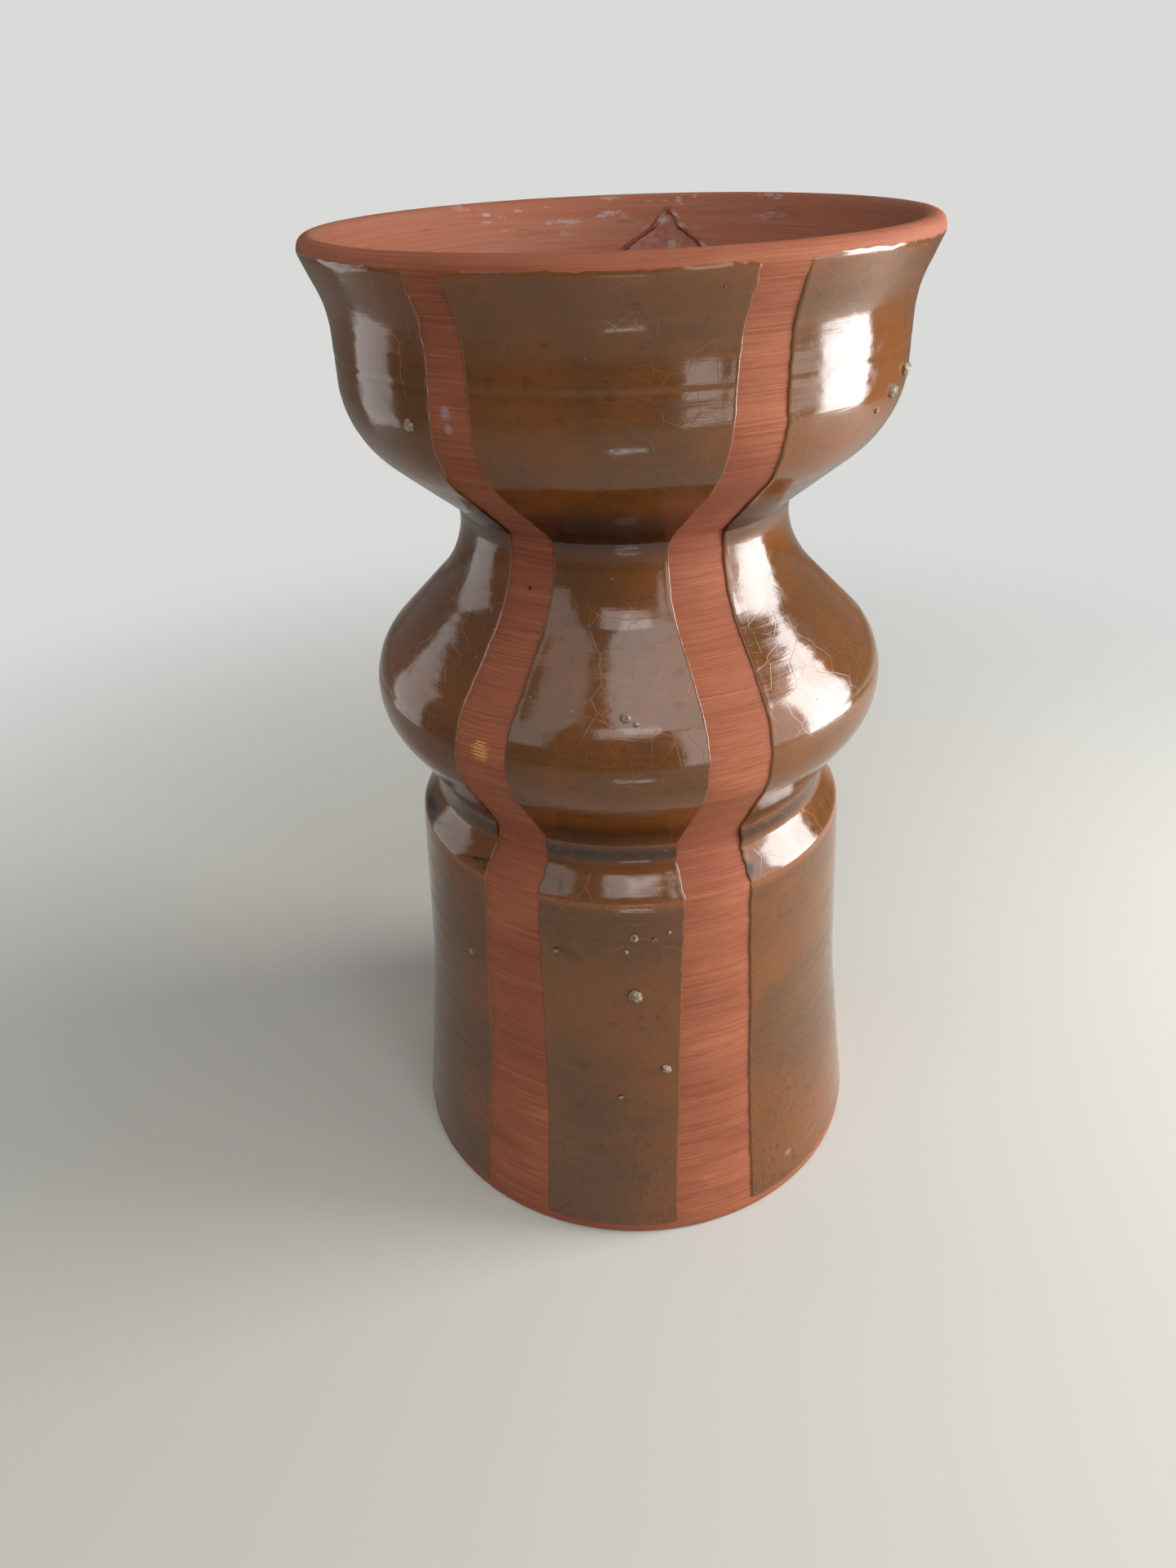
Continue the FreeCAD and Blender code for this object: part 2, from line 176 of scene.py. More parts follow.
class FinishColours(bpy.types.PropertyGroup):
    """Colours of the clay and the glaze"""

    clay: colour("Clay", "Bare fired clay", (0.290, 0.090, 0.044))
    # Dark clay also paints the shade low inside the bowl.
    clay_dark: colour("Dark clay", "Darker flashes on the bare clay", (0.180, 0.044, 0.020))
    clay_light: colour("Light clay", "Lighter orange flashes on the bare clay", (0.46, 0.165, 0.080))
    clay_inside: colour("Inside clay", "Bare clay inside the bowl", (0.28, 0.113, 0.070))
    glaze: colour("Glaze", "Olive brown glaze on a plain wall", (0.094, 0.036, 0.009))
    glaze_amber: colour("Amber glaze", "Warmer streaks in the glaze", (0.155, 0.047, 0.007))
    # This colour also paints the shade under the bowl and the bulb, and the painted reflection of a woven mat
    # low on the barrel.
    glaze_deep: colour("Deep glaze", "Glaze where it has pooled", (0.026, 0.007, 0.002))
    glaze_thin: colour("Thin glaze", "Glaze where it breaks over an edge", (0.22, 0.072, 0.022))
    grain: colour("Grain", "Grains that stand out of the glaze", (0.27, 0.24, 0.17))
    lime: colour("Lime", "Pale residue on the clay", (0.36, 0.31, 0.32))


class StageSizes(bpy.types.PropertyGroup):
    """Camera, lights and floor"""

    camera_distance: length("Camera distance", "From the pot's axis to the lens, level", 239.0 * MM)
    camera_height: length("Camera height", "Lens above the floor", 238.6 * MM)
    camera_pitch: angle("Pitch", "How far the camera looks down", 31.09)
    camera_yaw: angle("Yaw", "How far the camera turns aside", -2.43)
    camera_roll: angle("Roll", "How far the camera leans", -2.40)
    focal_length: FloatProperty(name="Focal length", description="Lens, for a 36 mm film", default=25.92)
    pale: colour("Backdrop", "Colour of the backdrop", (0.70, 0.70, 0.69))
    floor: colour("Floor", "Colour of the floor under the pot", (0.50, 0.49, 0.45))
    floor_radius: length("Floor radius", "Radius of the floor", 2.5)
    room_light: FloatProperty(name="Room light", description="Strength of the even room light", default=0.31)


# ------------------------------------------------------------------ node recipes

def math_step(operation, other_first=False):
    """A method that adds one Math node."""
    def step(self, other):
        terms = (other, self) if other_first else (self, other)
        return self.recipe.node("ShaderNodeMath", dict(enumerate(terms)), operation=operation)
    return step


class Wire:
    """A socket that can be used in sums, in a smooth step and under a tint."""

    def __init__(self, recipe, socket):
        self.recipe = recipe
        self.socket = socket

    __add__ = __radd__ = math_step("ADD")
    __mul__ = __rmul__ = math_step("MULTIPLY")
    __sub__ = math_step("SUBTRACT")
    __rsub__ = math_step("SUBTRACT", other_first=True)
    __truediv__ = math_step("DIVIDE")

    def output(self, name):
        """Another output of the same node."""
        return Wire(self.recipe, self.socket.node.outputs[name])

    def between(self, low, high):
        """0 below low, 1 above high and smooth in between."""
        return self.recipe.node("ShaderNodeMapRange", {"Value": self, "From Min": low, "From Max": high},
                                interpolation_type="SMOOTHSTEP")

    def below(self, low, high):
        """1 below low, 0 above high and smooth in between."""
        return 1.0 - self.between(low, high)

    def tint(self, amount, shade):
        """This colour with some of another one over it."""
        return self.recipe.mix(amount, self, shade)


class Recipe:
    """A node tree that is written as expressions, for a material or for Geometry Nodes."""

    def __init__(self, tree):
        self.tree = tree

    def node(self, kind, inputs=None, output=0, **settings):
        made = self.tree.nodes.new(kind)
        for name, value in settings.items():
            setattr(made, name, value)
        for name, value in (inputs or {}).items():
            if isinstance(value, Wire):
                self.tree.links.new(value.socket, made.inputs[name])
            else:
                made.inputs[name].default_value = value
        return Wire(self, made.outputs[output]) if len(made.outputs) else None

    def mix(self, factor, first, second):
        return self.node("ShaderNodeMix", {0: factor, 6: opaque(first), 7: opaque(second)}, 2,
                         data_type="RGBA")

    def vector(self, x, y, z):
        return self.node("ShaderNodeCombineXYZ", {0: x, 1: y, 2: z})

    def distance(self, kind, first, second=(0.0, 0.0, 0.0)):
        return self.node("ShaderNodeVectorMath", {0: first, 1: second}, "Value", operation=kind)

    def noise(self, vector, scale, detail=3.0, roughness=0.5):
        return self.node("ShaderNodeTexNoise",
                         {"Vector": vector, "Scale": scale, "Detail": detail, "Roughness": roughness})

    def cells(self, vector, scale, feature):
        return self.node("ShaderNodeTexVoronoi", {"Vector": vector, "Scale": scale, "Randomness": 1.0},
                         "Distance", feature=feature)

    def attribute(self, name):
        return self.node("ShaderNodeAttribute", attribute_name=name).output("Fac")

    def finish(self, shade, roughness, relief, strength, depth, **others):
        """Ends a material with its surface and a fine relief."""
        bump = self.node("ShaderNodeBump", {"Strength": strength, "Distance": depth, "Height": relief})
        surface = self.node("ShaderNodeBsdfPrincipled",
                            {"Base Color": shade, "Roughness": roughness, "Normal": bump, **others})
        self.node("ShaderNodeOutputMaterial", {"Surface": surface})


def opaque(shade):
    """A colour with a full alpha. A wire that carries a colour stays as it is."""
    return shade if isinstance(shade, Wire) else (shade[0], shade[1], shade[2], 1.0)


def new_material(name):
    material = bpy.data.materials.new(name)
    material.use_nodes = True
    material.node_tree.nodes.clear()
    return material, Recipe(material.node_tree)


class PotPlace:
    """Where a point lies on the pot: its place, height and side of the wall."""

    def __init__(self, recipe):
        self.recipe = recipe
        self.point = recipe.node("ShaderNodeTexCoord").output("Object")
        split = recipe.node("ShaderNodeSeparateXYZ", {0: self.point})
        self.x = split.output("X")
        self.y = split.output("Y")
        self.height = split.output("Z")
        radius = recipe.node("ShaderNodeMath", {0: self.x * self.x + self.y * self.y}, operation="SQRT")
        normal = recipe.node("ShaderNodeNewGeometry").output("Normal")
        facing = recipe.node("ShaderNodeSeparateXYZ", {0: normal})
        outward = (self.x * facing.output("X") + self.y * facing.output("Y")) / radius
        self.inside = (outward * -1.0).between(-0.05, 0.25)

    def noise(self, around, along, detail, roughness):
        """A noise with its own fineness round the pot and up it, which makes level lines or streaks."""
        stretched = self.recipe.vector(self.x * around, self.y * around, self.height * along)
        return self.recipe.noise(stretched, 1.0, detail, roughness)

    def spot(self, azimuth, height, radius, size):
        """1 near one place on the pot and 0 away from it."""
        turn = math.radians(azimuth)
        place = (radius * math.sin(turn), -radius * math.cos(turn), height)
        ragged = self.recipe.noise(self.point, 900.0) * size
        return (self.recipe.distance("DISTANCE", self.point, place) + ragged).below(size * 0.9, size * 1.5)


# ------------------------------------------------------------------ materials

def clay_material(sizes, colours):
    material, recipe = new_material("terracotta")
    place = PotPlace(recipe)
    broad = place.noise(26.0, 60.0, 4.0, 0.6)
    drag = place.noise(26.0, 1700.0, 3.0, 0.6)
    fine = place.noise(46.0, 5200.0, 3.0, 0.75)
    speck = recipe.noise(place.point, 2600.0, 2.0, 0.6)

    skin = recipe.mix(broad.between(0.32, 0.60) * 0.55 + 0.45, colours.clay_dark, colours.clay)
    skin = skin.tint(broad.between(0.56, 0.76) * 0.7, colours.clay_light)
    skin = recipe.mix(drag.between(0.34, 0.50) * 0.40 + 0.60, colours.clay_dark, skin)
    skin = skin.tint(drag.between(0.56, 0.74) * 0.40, colours.clay_light)
    skin = skin.tint(fine.below(0.36, 0.49) * 0.75, colours.clay_dark)
    skin = skin.tint(fine.between(0.58, 0.70) * 0.35, colours.clay_light)
    inner = recipe.mix(drag.between(0.35, 0.65), colours.clay, colours.clay_inside)
    inner = inner.tint(fine.below(0.34, 0.46) * 0.35, colours.clay_dark)
    skin = skin.tint(place.inside, inner)

    # Painted shade inside the bowl: its clay darkens lower down, towards the neck.
    deep_inside_shade = place.height.below(sizes.crease_height, sizes.full_height - 15.0 * MM)
    skin = skin.tint(place.inside * deep_inside_shade * 0.5, colours.clay_dark)
    lip = place.height.between(sizes.full_height - 3.2 * MM, sizes.full_height - 1.0 * MM)
    skin = skin.tint(lip * (1.0 - place.inside) * 0.35, colours.clay)
    rim_zone = place.height.between(sizes.full_height - 9.0 * MM, sizes.full_height - 3.0 * MM)
    far_side = place.y.between(0.0, 20.0 * MM)
    residue = place.noise(120.0, 420.0, 4.0, 0.7).between(0.57, 0.63) * rim_zone
    residue = residue * place.noise(34.0, 20.0, 1.0, 0.5).between(0.52, 0.60)
    skin = skin.tint(residue * place.inside * far_side * 0.60, colours.lime)
    smoke = place.noise(44.0, 260.0, 3.0, 0.6).between(0.60, 0.72)
    skin = skin.tint(smoke * place.inside * 0.6, (0.10, 0.045, 0.035))

    scuff = place.spot(-31.6, 195.5 * MM, sizes.bowl_radius, 1.5 * MM)
    scuff_below = place.spot(-31.2, 192.8 * MM, sizes.bowl_radius, 1.1 * MM)
    skin = skin.tint((scuff + scuff_below) * 0.40, colours.lime)
    flash = place.spot(-31.0, 131.5 * MM, sizes.bulb_radius - 0.5 * MM, 2.6 * MM)
    skin = skin.tint(flash * fine.between(0.42, 0.56), (0.80, 0.36, 0.12))
    # Painted shade: two near-black spots stand in for the shade inside two small pits in the neck.
    pit_shade = place.spot(-30.9, 158.0 * MM, sizes.neck_radius + 1.5 * MM, 0.6 * MM)
    small_pit_shade = place.spot(26.5, 151.5 * MM, sizes.neck_radius + 3.6 * MM, 0.5 * MM)
    skin = skin.tint(pit_shade + small_pit_shade * 0.8, (0.05, 0.015, 0.01))

    relief = drag * 0.5 + fine * 0.55 + speck * 0.10
    dryness = 0.66 + speck.between(0.2, 0.8) * 0.20
    recipe.finish(skin, dryness, relief, 0.75, 0.12 * MM, **{"Specular IOR Level": 0.28})
    return material


def glaze_material(sizes, colours):
    material, recipe = new_material("brown_glaze")
    place = PotPlace(recipe)
    pooled_and_shaded = recipe.attribute("pooled_and_shaded")
    thin = recipe.attribute("thin")
    drag = place.noise(34.0, 760.0, 3.0, 0.6)
    mottle = recipe.noise(place.point, 1500.0, 3.0, 0.6)
    blotch = place.noise(210.0, 260.0, 3.0, 0.7)

    cloud = place.noise(26.0, 30.0, 4.0, 0.6)
    coat = recipe.mix(cloud.between(0.38, 0.66), colours.glaze, colours.glaze_amber)
    coat = coat.tint(drag.between(0.46, 0.72) * 0.40, colours.glaze_amber)
    coat = coat.tint(blotch.between(0.58, 0.72) * 0.35, colours.glaze_deep)
    coat = coat.tint(mottle.between(0.56, 0.74) * 0.30, colours.glaze_deep)
    coat = coat.tint(thin * mottle.between(0.25, 0.55), colours.glaze_thin)
    # Painted shade under the bowl and the bulb comes in through this mask, together with glaze that really
    # pools; both turn the coat to the darkest glaze, and the near-black clots follow it.
    coat = coat.tint(pooled_and_shaded.between(0.05, 0.95), colours.glaze_deep)
    clots = place.noise(480.0, 620.0, 3.0, 0.7).between(0.50, 0.62)
    coat = coat.tint(clots * pooled_and_shaded.between(0.55, 0.9), (0.006, 0.004, 0.004))

    crackle_zone = recipe.noise(place.point, 24.0, 2.0).between(0.40, 0.56)
    crazing = recipe.cells(place.point, 210.0, "DISTANCE_TO_EDGE").below(0.004, 0.020) * crackle_zone
    coat = coat.tint(crazing * 0.34, colours.glaze_thin)
    # Painted reflection of a woven mat under the pot: dark streaks on the glaze nearest the floor, fading out
    # above the low barrel.
    mat_reflection = place.noise(1100.0, 620.0, 2.0, 0.6).between(0.50, 0.68)
    low_down = place.height.below(18.0 * MM, 60.0 * MM)
    coat = coat.tint(mat_reflection * low_down * 0.28, colours.glaze_deep)
    pinhole = recipe.cells(place.point, 150.0, "F1").below(0.018, 0.040)
    coat = coat.tint(pinhole * 0.5, colours.grain)
    chip = place.spot(-46.8, 71.0 * MM, sizes.barrel_radius, 1.1 * MM)
    scuff = place.spot(42.0, 10.5 * MM, sizes.foot_radius - 1.5 * MM, 1.6 * MM)
    coat = coat.tint(chip * 0.8 + scuff * 0.5, colours.grain)

    waves = place.noise(80.0, 170.0, 2.0, 0.5)
    relief = waves * 3.6 + drag * 0.75 + mottle * 0.22 + pinhole * -0.6 + crazing * -0.16
    gloss = 0.095 + blotch.between(0.45, 0.75) * 0.12 + chip * 0.4 + scuff * 0.4
    recipe.finish(coat, gloss, relief, 0.40, 0.10 * MM, IOR=1.57)
    return material


def drip_material(colours):
    material, recipe = new_material("drip_glaze")
    place = PotPlace(recipe)
    bead = recipe.attribute("pooled_and_shaded")
    clots = recipe.noise(place.point, 420.0, 4.0, 0.65)
    body = recipe.mix(clots.between(0.35, 0.65), colours.clay_dark, colours.clay)
    body = body.tint(bead * clots.between(0.30, 0.60) * 0.65, colours.glaze_deep)
    pale = recipe.noise(place.point, 260.0).between(0.56, 0.64)
    body = body.tint(pale * 0.35, colours.lime)
    smear = place.spot(167.5, 209.5 * MM, 56.0 * MM, 1.6 * MM)
    body = body.tint(smear, (0.02, 0.008, 0.006))
    recipe.finish(body, 0.48 - bead * 0.32, clots, 0.5, 0.3 * MM)
    return material


def grain_material(colours):
    material, recipe = new_material("mineral_grain")
    crumbs = recipe.noise(PotPlace(recipe).point, 1700.0, 4.0, 0.7)
    stone = recipe.mix(crumbs.between(0.35, 0.65), colours.glaze, colours.grain)
    recipe.finish(stone, 0.48 + crumbs * 0.2, crumbs, 0.7, 0.2 * MM)
    return material


# ------------------------------------------------------------------ the turned outline

def full_round(radius, level, size):
    """A round that bulges out to a radius at a level."""
    return (radius - size, level, size, FULL)


def hollow_round(radius, level, size):
    """A round that cuts in to a radius at a level."""
    return (radius + size, level, size, HOLLOW)


def inner_round(outer, wall):
    """The inside of the wall at one of the outside's rounds."""
    radius, level, size, side = outer
    return (radius, level, size - side * wall, -side)


def shell_rounds(sizes):
    """The rounds of the wall's section, outside going up and inside going down.

    Each is (centre radius, centre height, size, side).
    """
    wall = sizes.wall
    edge = 1.0 * MM
    inner_corner = 4.0 * MM
    flare_inside = 18.0 * MM
    lip = 2.2 * MM
    shoulder_level = sizes.waist_height - 9.4 * MM
    bowl_level = sizes.crease_height + 26.9 * MM
    flare_level = bowl_level + 8.5 * MM
    barrel = hollow_round(sizes.barrel_radius, 68.5 * MM, 254.0 * MM)
    shoulder = full_round(sizes.shoulder_radius, shoulder_level, 1.0 * MM)
    waist = hollow_round(sizes.waist_radius, sizes.waist_height, 7.0 * MM)
    bulb = full_round(sizes.bulb_radius, sizes.waist_height + 24.5 * MM, 15.0 * MM)
    neck = hollow_round(sizes.neck_radius, sizes.crease_height - 1.6 * MM, 22.5 * MM)
    crease = hollow_round(sizes.neck_radius, sizes.crease_height, 0.8 * MM)
    bowl = full_round(sizes.bowl_radius, bowl_level, 19.0 * MM)
    flare = hollow_round(sizes.bowl_radius, flare_level, 22.0 * MM)
    outer = [full_round(sizes.foot_radius, edge, edge), barrel, shoulder, waist, bulb, neck, crease, bowl,
             flare, full_round(sizes.lip_radius, sizes.full_height - lip, lip)]
    inner = [(sizes.bowl_radius - wall + flare_inside, flare_level, flare_inside, FULL)]
    inner += [inner_round(above, wall) for above in (bowl, crease, neck, bulb, waist)]
    inner += [
        (sizes.shoulder_radius - wall - inner_corner, shoulder_level - 4.6 * MM, inner_corner, HOLLOW),
        inner_round(barrel, wall),
        (sizes.foot_radius - wall + edge, edge, edge, FULL),
    ]
    return outer, inner


def tangent_normal(start, end):
    """The outward normal of the line that touches two rounds, as (radius, height)."""
    along = np.array([end[0] - start[0], end[1] - start[1]])
    distance = np.hypot(*along)
    along = along / distance
    lean = (start[3] * start[2] - end[3] * end[2]) / distance
    upright = math.sqrt(1.0 - lean * lean)
    return np.array([along[1] * upright + along[0] * lean, -along[0] * upright + along[1] * lean])


def walk_rounds(rounds, spacings):
    """Points along the closed outline, with a spacing for each round and the straight after it."""
    count = len(rounds)
    normals = [tangent_normal(rounds[i], rounds[(i + 1) % count]) for i in range(count)]
    points = []
    for index, (centre_radius, centre_height, size, side) in enumerate(rounds):
        spacing = spacings[index]
        centre = np.array([centre_radius, centre_height])
        arriving = math.atan2(normals[index - 1][1], normals[index - 1][0])
        leaving = math.atan2(normals[index][1], normals[index][0])
        turn = (leaving - arriving + math.pi) % (2 * math.pi) - math.pi
        steps = max(3, int(math.ceil(abs(turn) * size / spacing)), int(math.ceil(abs(turn) / LARGEST_TURN)))
        for step in range(steps + 1):
            heading = arriving + turn * step / steps
            points.append(centre + side * size * np.array([math.cos(heading), math.sin(heading)]))
        following = rounds[(index + 1) % count]
        start = centre + side * size * normals[index]
        end = np.array(following[:2]) + following[3] * following[2] * normals[index]
        steps = max(1, int(math.ceil(np.hypot(*(end - start)) / spacing)))
        for step in range(1, steps):
            points.append(start + (end - start) * step / steps)
    return np.array(points)


def hump(places, middle, spread):
    """1 in the middle, and falling away smoothly on both sides."""
    return np.exp(-((places - middle) / spread) ** 2)


def turning_ridges(height, ridge_height):
    """Shallow ridges from the potter's fingers, and a deeper line cut round the bowl and the bulb."""
    waves = (np.sin(height / (0.52 * MM) + 0.6) * 0.45
             + np.sin(height / (0.83 * MM) + 2.1 * np.sin(height / (9.0 * MM))) * 0.7
             + np.sin(height / (1.9 * MM) + 1.3) * 0.8)
    bowl_line = 0.10 * MM * hump(height, 199.0 * MM, 0.35 * MM)
    bulb_line = 0.09 * MM * hump(height, 132.6 * MM, 0.40 * MM)
    return waves * ridge_height - bowl_line - bulb_line


def ridged(path, sizes, ridge_height, fade_length, lift=0.0):
    """A path with turning ridges, which fade out towards the lip and the foot."""
    rise = path[:, 1]
    fade = np.clip((sizes.full_height - rise) / fade_length, 0, 1) * np.clip(rise / fade_length, 0, 1)
    turned = path.copy()
    turned[:, 0] += turning_ridges(rise + lift, ridge_height) * fade
    return turned


class Outline:
    """The wall's outline as an outside path going up and an inside path going up."""

    def __init__(self, sizes, ridge_share=1.0):
        outer, inner = shell_rounds(sizes)
        ridges = sizes.ridge_height * ridge_share
        # only the bowl's inside is seen from above, and the hollow below it has coarser steps
        seen = len(outer) + 2
        hidden = len(inner) - 2
        points = walk_rounds(outer + inner, [SEEN_STEP] * seen + [HIDDEN_STEP] * hidden)
        top = int(np.argmax(points[:, 1]))
        self.outside = ridged(points[:top + 1], sizes, ridges, 4.0 * MM)
        self.inside = ridged(points[top:][::-1], sizes, ridges * 2.0, 6.0 * MM, lift=0.7 * MM)

    def cut(self, path, low, high):
        """The stretch of a path between two heights, with its ends exactly there."""
        levels = path[:, 1]
        kept = path[(levels > low + CUT_CLEARANCE) & (levels < high - CUT_CLEARANCE)]
        start = [[self.radius_at(path, low), low]] if low > levels.min() else []
        finish = [[self.radius_at(path, high), high]] if high < levels.max() else []
        return start + kept.tolist() + finish

    def radius_at(self, path, level):
        order = np.argsort(path[:, 1], kind="stable")
        return float(np.interp(level, path[order, 1], path[order, 0]))


# ------------------------------------------------------------------ clay sections

def section_loop(outline, sizes, below, above):
    """The closed section of one thrown piece between two lap joints, as (radius, height) points.

    below and above are (joint height, joint outer radius), or None at an open end.
    """
    half = sizes.slip_thickness / 2
    low_outer = below[0] + half if below else -1.0
    high_outer = above[0] - half if above else 1.0
    low_inner = below[0] - sizes.lap_depth + half if below else -1.0
    high_inner = above[0] - sizes.lap_depth - half if above else 1.0
    loop = outline.cut(outline.outside, low_outer, high_outer)
    if above:
        step = above[1] - sizes.wall / 2 + half
        loop += [[step, high_outer], [step, high_inner]]
    loop += outline.cut(outline.inside, low_inner, high_inner)[::-1]
    if below:
        step = below[1] - sizes.wall / 2 - half
        loop += [[step, low_inner], [step, low_outer]]
    return loop


def slip_loop(outline, sizes, joint):
    """The stepped section of the slip ring in one lap joint."""
    half = sizes.slip_thickness / 2
    middle = joint[1] - sizes.wall / 2
    top = joint[0]
    bottom = joint[0] - sizes.lap_depth
    outside = outline.cut(outline.outside, top - half, top + half)
    inside = outline.cut(outline.inside, bottom - half, bottom + half)[::-1]
    upper = [[middle - half, top + half], [middle - half, bottom + half]]
    lower = [[middle + half, bottom - half], [middle + half, top - half]]
    return outside + upper + inside + lower


def new_group(name, **sockets):
    """A Geometry Nodes tree with geometry in and out, and one more input for each socket."""
    tree = bpy.data.node_groups.new(name, "GeometryNodeTree")
    tree.interface.new_socket("Geometry", in_out="INPUT", socket_type="NodeSocketGeometry")
    tree.interface.new_socket("Geometry", in_out="OUTPUT", socket_type="NodeSocketGeometry")
    for socket, kind in sockets.items():
        tree.interface.new_socket(socket, in_out="INPUT", socket_type="NodeSocket" + kind)
    recipe = Recipe(tree)
    return recipe, recipe.node("NodeGroupInput")


def finish_group(recipe, given, geometry, lump_scale, lump_height):
    """Pushes a mesh in and out by a noise, smooths it, gives it its material and ends the tree."""
    lumps = recipe.noise(recipe.node("GeometryNodeInputPosition"), lump_scale, 2.0)
    normal = recipe.node("GeometryNodeInputNormal")
    push = recipe.node("ShaderNodeVectorMath", {0: normal, "Scale": (lumps - 0.5) * lump_height},
                       operation="SCALE")
    moved = recipe.node("GeometryNodeSetPosition", {"Geometry": geometry, "Offset": push})
    smooth = recipe.node("GeometryNodeSetShadeSmooth", {"Geometry": moved})
    painted = recipe.node("GeometryNodeSetMaterial",
                          {"Geometry": smooth, "Material": given.output("Material")})
    recipe.node("NodeGroupOutput", {0: painted})
    return recipe.tree


def turning_tree():
    """Geometry Nodes that turn a section outline round the pot's axis."""
    recipe, given = new_group("turned_section", Segments="Int", Radius="Float", Unevenness="Float",
                              Material="Material")
    path = recipe.node("GeometryNodeCurvePrimitiveCircle",
                       {"Resolution": given.output("Segments"), "Radius": given.output("Radius")})
    turned = recipe.node("GeometryNodeCurveToMesh", {"Curve": path, "Profile Curve": given})
    return finish_group(recipe, given, turned, 160.0, given.output("Unevenness"))


def run_tree(thing, tree, values):
    """Runs a node tree on an object and returns the result as a plain mesh."""
    modifier = thing.modifiers.new(tree.name, "NODES")
    modifier.node_group = tree
    sockets = {item.name: item.identifier for item in tree.interface.items_tree if item.in_out == "INPUT"}
    for name, value in values.items():
        modifier[sockets[name]] = value
    evaluated = thing.evaluated_get(bpy.context.evaluated_depsgraph_get())
    mesh = bpy.data.meshes.new_from_object(evaluated)
    thing.modifiers.remove(modifier)
    return mesh


def face_outwards(mesh):
    """Turns the faces of a closed mesh outwards."""
    work = bmesh.new()
    work.from_mesh(mesh)
    if work.calc_volume(signed=True) < 0:
        bmesh.ops.reverse_faces(work, faces=work.faces[:])
    work.to_mesh(mesh)
    work.free()


def add_piece(name, mesh, slot_name, *nodes):
    """Puts a finished mesh in the scene as a piece, which may stand for CAD nodes."""
    mesh.name = name
    piece = new_object(name, mesh)
    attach(piece, ROOT_BODY)
    if nodes:
        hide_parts(*nodes)


def turn_section(name, loop, tree, sizes, material, slot_name):
    """One turned piece: its section goes round the axis, and the result is a closed mesh."""
    turning_radius = sizes.waist_radius
    curve = bpy.data.curves.new(name + "_section", "CURVE")
    curve.dimensions = "3D"
    spline = curve.splines.new("POLY")
    spline.points.add(len(loop) - 1)
    for point, (radius, height) in zip(spline.points, loop):
        # the turning circle's frame points a section's second axis downwards
        point.co = (radius - turning_radius, -height, 0.0, 1.0)
    spline.use_cyclic_u = True
    section = new_object(name + "_section", curve)
    mesh = run_tree(section, tree, {"Segments": sizes.segments, "Radius": turning_radius,
                                    "Unevenness": 0.06 * MM, "Material": material})
    bpy.data.objects.remove(section)
    bpy.data.curves.remove(curve)
    face_outwards(mesh)
    mesh.set_sharp_from_angle(angle=math.radians(38))
    add_piece(name + "_clay", mesh, slot_name, name)


class SHELL_OT_turn_clay(bpy.types.Operator):
    """Turn the three thrown sections and the two slip rings"""

    bl_idname = "shell.turn_clay"
    bl_label = "Turn the Clay"

    def execute(self, context):
        sizes = context.scene.shell_sizes
        outline = Outline(sizes)
        waist = (sizes.waist_height, sizes.waist_radius)
        neck = (sizes.crease_height, sizes.neck_radius)
        clay = clay_material(sizes, context.scene.shell_colours)
        tree = turning_tree()
        sections = [
            ("foot_barrel", section_loop(outline, sizes, None, waist), "terracotta"),
            ("neck_and_bulb", section_loop(outline, sizes, waist, neck), "terracotta"),
            ("bowl", section_loop(outline, sizes, neck, None), "terracotta"),
            ("waist_slip_joint", slip_loop(outline, sizes, waist), "fired_slip"),
            ("neck_slip_joint", slip_loop(outline, sizes, neck), "fired_slip"),
        ]
        for name, loop, slot_name in sections:
            turn_section(name, loop, tree, sizes, clay, slot_name)
        return {"FINISHED"}


# ------------------------------------------------------------------ glaze

def wander(along, seed, broad, fine):
    """A repeatable uneven line: a broad wander and a fine ragged one, from -1 to 1 each."""
    random = np.random.default_rng(seed)
    phases = random.uniform(0, 2 * math.pi, 9)
    stretch = random.uniform(0.85, 1.18, 9)
    slow = sum(np.sin(along / (span * MM) * stretch[i] + phases[i]) * weight
               for i, (span, weight) in enumerate([(16.0, 0.5), (9.0, 0.3), (5.2, 0.2)]))
    quick = sum(np.sin(along / (span * MM) * stretch[i + 3] + phases[i + 3]) * weight
                for i, (span, weight) in enumerate([(1.5, 0.30), (0.9, 0.30), (0.52, 0.25), (0.37, 0.15)]))
    return slow * broad + quick * fine


class GlazePath:
    """The clay's outside path, with the coat's places along it and its normals."""

    def __init__(self, outline, sizes, glaze):
        path = outline.outside
        apart = np.hypot(*np.diff(path, axis=0).T) > 1e-7
        path = path[np.concatenate([[True], apart])]
        self.sizes = sizes
        self.glaze = glaze
        self.path = path
        self.along = np.concatenate([[0.0], np.cumsum(np.hypot(*np.diff(path, axis=0).T))])
        slopes = np.gradient(path, self.along, axis=0)
        kernel = np.hanning(7) / np.hanning(7).sum()
        slopes = np.stack([np.convolve(np.pad(slopes[:, k], 3, mode="edge"), kernel, "valid")
                           for k in (0, 1)], axis=1)
        slopes /= np.hypot(slopes[:, 0], slopes[:, 1])[:, None]
        self.columns = [path[:, 0], path[:, 1], slopes[:, 1], -slopes[:, 0]]
        self.start = self.at_height(glaze.bare_foot)
        self.finish = self.at_height(sizes.full_height - 2.0 * MM)
        self.waist = self.at_height(sizes.waist_height)
        self.crease = self.at_height(sizes.crease_height)
        self.shoulder = self.at_height(sizes.waist_height - 9.0 * MM)

    def at_height(self, height):
        return float(np.interp(height, self.path[:, 1], self.along))

    def sample(self, along):
        """Radius, height and the outward normal's two parts at places along the path."""
        return [np.interp(along, self.along, column) for column in self.columns]


